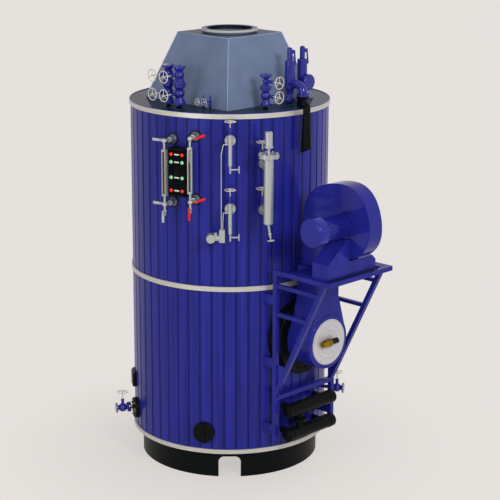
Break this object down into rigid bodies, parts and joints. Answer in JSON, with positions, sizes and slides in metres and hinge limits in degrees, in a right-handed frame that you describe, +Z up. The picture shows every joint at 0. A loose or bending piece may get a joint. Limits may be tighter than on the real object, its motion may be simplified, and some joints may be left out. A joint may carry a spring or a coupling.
{
  "type": "vertical oil-fired steam boiler",
  "caption": "Upright cylindrical steam boiler with ribbed casing, square smoke box, valves, level gauges and a side-mounted oil burner with its air fan.",
  "frame": {"origin": "on the vessel's axis at floor level, at the centre of the anchor bolt circle", "axes": "+Z up along the vessel's axis; -Y towards the level gauges and the front hand hole; the burner and fan stand out between +X and -Y"},
  "size_m": [2.7895, 2.6667, 4.425],
  "materials": {
    "casing_blue": "royal blue gloss paint",
    "skirt_black": "near-black paint",
    "band_steel": "pale stainless strip",
    "hood_grey": "slate blue-grey paint",
    "plate_slate": "dark slate paint",
    "wheel_pale": "pale cast handwheel",
    "fitting_grey": "grey cast and turned steel",
    "lever_red": "red lever sleeve",
    "plate_pale": "pale enamelled plate",
    "brass": "turned brass"
  },
  "bodies": {
    "boiler": {"air_duct": "casing_blue", "blowdown_valve_left": "casing_blue", "blowdown_valve_right": "casing_blue", "burner_gun": "brass", "burner_plate": "plate_pale", "casing_bands": "band_steel", "casing_lower": "casing_blue", "casing_upper": "casing_blue", "discharge_pipe": "skirt_black", "electrode_column": "fitting_grey", "electrode_valves": "fitting_grey", "fan_motor": "casing_blue", "fan_pedestal": "casing_blue", "fan_scroll": "casing_blue", "feed_front_stack": "casing_blue", "feed_rear_stack": "casing_blue", "flue_outlet": "hood_grey", "foundation_skirt": "skirt_black", "frame_deck": "casing_blue", "frame_left": "casing_blue", "frame_right": "casing_blue", "furnace_mouth": "skirt_black", "gauge_left": "fitting_grey", "gauge_right": "fitting_grey", "handhole_covers": "skirt_black", "level_panel": "skirt_black", "level_pots": "fitting_grey", "level_transmitter": "fitting_grey", "oil_heaters": "skirt_black", "pressure_shell": "skirt_black", "safety_valve_left": "casing_blue", "safety_valve_right": "casing_blue", "sensing_tubes": "fitting_grey", "smoke_box": "hood_grey", "steam_stack": "casing_blue", "top_plate": "plate_slate", "vent_valves": "casing_blue", "windbox": "casing_blue"},
    "feed_rear_lower_wheel": {"feed_rear_lower_wheel": "wheel_pale"},
    "feed_rear_upper_wheel": {"feed_rear_upper_wheel": "wheel_pale"},
    "feed_front_lower_wheel": {"feed_front_lower_wheel": "wheel_pale"},
    "feed_front_upper_wheel": {"feed_front_upper_wheel": "wheel_pale"},
    "steam_lower_wheel": {"steam_lower_wheel": "wheel_pale"},
    "steam_upper_wheel": {"steam_upper_wheel": "wheel_pale"},
    "vent_left_wheel": {"vent_left_wheel": "wheel_pale"},
    "vent_right_wheel": {"vent_right_wheel": "wheel_pale"},
    "level_pot_lower_wheel": {"level_pot_lower_wheel": "wheel_pale"},
    "level_pot_upper_wheel": {"level_pot_upper_wheel": "wheel_pale"},
    "electrode_lower_wheel": {"electrode_lower_wheel": "wheel_pale"},
    "electrode_upper_wheel": {"electrode_upper_wheel": "wheel_pale"},
    "electrode_drain_wheel": {"electrode_drain_wheel": "wheel_pale"},
    "blowdown_left_wheel": {"blowdown_left_wheel": "wheel_pale"},
    "blowdown_right_wheel": {"blowdown_right_wheel": "wheel_pale"},
    "gauge_left_lower_lever": {"gauge_left_lower_lever": "fitting_grey"},
    "gauge_left_upper_lever": {"gauge_left_upper_lever": "fitting_grey"},
    "gauge_left_drain_lever": {"gauge_left_drain_lever": "fitting_grey"},
    "gauge_right_lower_lever": {"gauge_right_lower_lever": "lever_red"},
    "gauge_right_upper_lever": {"gauge_right_upper_lever": "lever_red"},
    "gauge_right_drain_lever": {"gauge_right_drain_lever": "lever_red"}
  },
  "joints": [
    {"name": "feed_rear_lower_turn", "type": "hinge", "parent": "boiler", "child": "feed_rear_lower_wheel", "pos_m": [-0.74662, -0.66459, 3.865], "axis": [-0.7071, -0.7071, 0], "range_deg": [0, 1440]},
    {"name": "feed_rear_upper_turn", "type": "hinge", "parent": "boiler", "child": "feed_rear_upper_wheel", "pos_m": [-0.74662, -0.66459, 4.046], "axis": [-0.7071, -0.7071, 0], "range_deg": [0, 1440]},
    {"name": "feed_front_lower_turn", "type": "hinge", "parent": "boiler", "child": "feed_front_lower_wheel", "pos_m": [-0.63359, -0.77203, 3.865], "axis": [-0.7071, -0.7071, 0], "range_deg": [0, 1440]},
    {"name": "feed_front_upper_turn", "type": "hinge", "parent": "boiler", "child": "feed_front_upper_wheel", "pos_m": [-0.63359, -0.77203, 4.046], "axis": [-0.7071, -0.7071, 0], "range_deg": [0, 1440]},
    {"name": "steam_lower_turn", "type": "hinge", "parent": "boiler", "child": "steam_lower_wheel", "pos_m": [0.47588, -0.84054, 3.857], "axis": [0.7071, -0.7071, 0], "range_deg": [0, 1440]},
    {"name": "steam_upper_turn", "type": "hinge", "parent": "boiler", "child": "steam_upper_wheel", "pos_m": [0.47588, -0.84054, 3.997], "axis": [0.7071, -0.7071, 0], "range_deg": [0, 1440]},
    {"name": "vent_left_turn", "type": "hinge", "parent": "boiler", "child": "vent_left_wheel", "pos_m": [-0.30998, -0.79998, 3.81], "axis": [-0.7071, -0.7071, 0], "range_deg": [0, 1440]},
    {"name": "vent_right_turn", "type": "hinge", "parent": "boiler", "child": "vent_right_wheel", "pos_m": [-0.24598, -0.81398, 3.81], "axis": [-0.7071, -0.7071, 0], "range_deg": [0, 1440]},
    {"name": "level_pot_lower_turn", "type": "hinge", "parent": "boiler", "child": "level_pot_lower_wheel", "pos_m": [0.00473, -1.08299, 3.008], "axis": [0, 0, 1], "range_deg": [0, 1440]},
    {"name": "level_pot_upper_turn", "type": "hinge", "parent": "boiler", "child": "level_pot_upper_wheel", "pos_m": [0.00473, -1.08299, 3.669], "axis": [0, 0, 1], "range_deg": [0, 1440]},
    {"name": "electrode_lower_turn", "type": "hinge", "parent": "boiler", "child": "electrode_lower_wheel", "pos_m": [0.31302, -1.03678, 3.013], "axis": [0, 0, 1], "range_deg": [0, 1440]},
    {"name": "electrode_upper_turn", "type": "hinge", "parent": "boiler", "child": "electrode_upper_wheel", "pos_m": [0.31302, -1.03678, 3.465], "axis": [0, 0, 1], "range_deg": [0, 1440]},
    {"name": "electrode_drain_turn", "type": "hinge", "parent": "boiler", "child": "electrode_drain_wheel", "pos_m": [0.39326, -1.22182, 2.54487], "axis": [0.1475, -0.0791, -0.9859], "range_deg": [0, 1440]},
    {"name": "blowdown_left_turn", "type": "hinge", "parent": "boiler", "child": "blowdown_left_wheel", "pos_m": [-1.11371, -0.29842, 0.683], "axis": [0, 0, 1], "range_deg": [0, 1440]},
    {"name": "blowdown_right_turn", "type": "hinge", "parent": "boiler", "child": "blowdown_right_wheel", "pos_m": [1.11371, -0.29842, 0.903], "axis": [0, 0, 1], "range_deg": [0, 1440]},
    {"name": "gauge_left_lower_cock", "type": "hinge", "parent": "boiler", "child": "gauge_left_lower_lever", "pos_m": [-0.64856, -0.92151, 2.84], "axis": [-0.5432, -0.8396, 0], "range_deg": [0, 90]},
    {"name": "gauge_left_upper_cock", "type": "hinge", "parent": "boiler", "child": "gauge_left_upper_lever", "pos_m": [-0.64856, -0.92151, 3.462], "axis": [-0.5432, -0.8396, 0], "range_deg": [0, 90]},
    {"name": "gauge_left_drain_cock", "type": "hinge", "parent": "boiler", "child": "gauge_left_drain_lever", "pos_m": [-0.64095, -0.99075, 2.774], "axis": [-0.5432, -0.8396, 0], "range_deg": [-90, 0]},
    {"name": "gauge_right_lower_cock", "type": "hinge", "parent": "boiler", "child": "gauge_right_lower_lever", "pos_m": [-0.32687, -1.07841, 2.889], "axis": [-0.3272, -0.9449, 0], "range_deg": [-90, 0]},
    {"name": "gauge_right_upper_cock", "type": "hinge", "parent": "boiler", "child": "gauge_right_upper_lever", "pos_m": [-0.32687, -1.07841, 3.505], "axis": [-0.3272, -0.9449, 0], "range_deg": [-90, 0]},
    {"name": "gauge_right_drain_cock", "type": "hinge", "parent": "boiler", "child": "gauge_right_drain_lever", "pos_m": [-0.38612, -1.11504, 2.823], "axis": [-0.3272, -0.9449, 0], "range_deg": [0, 90]}
  ]
}
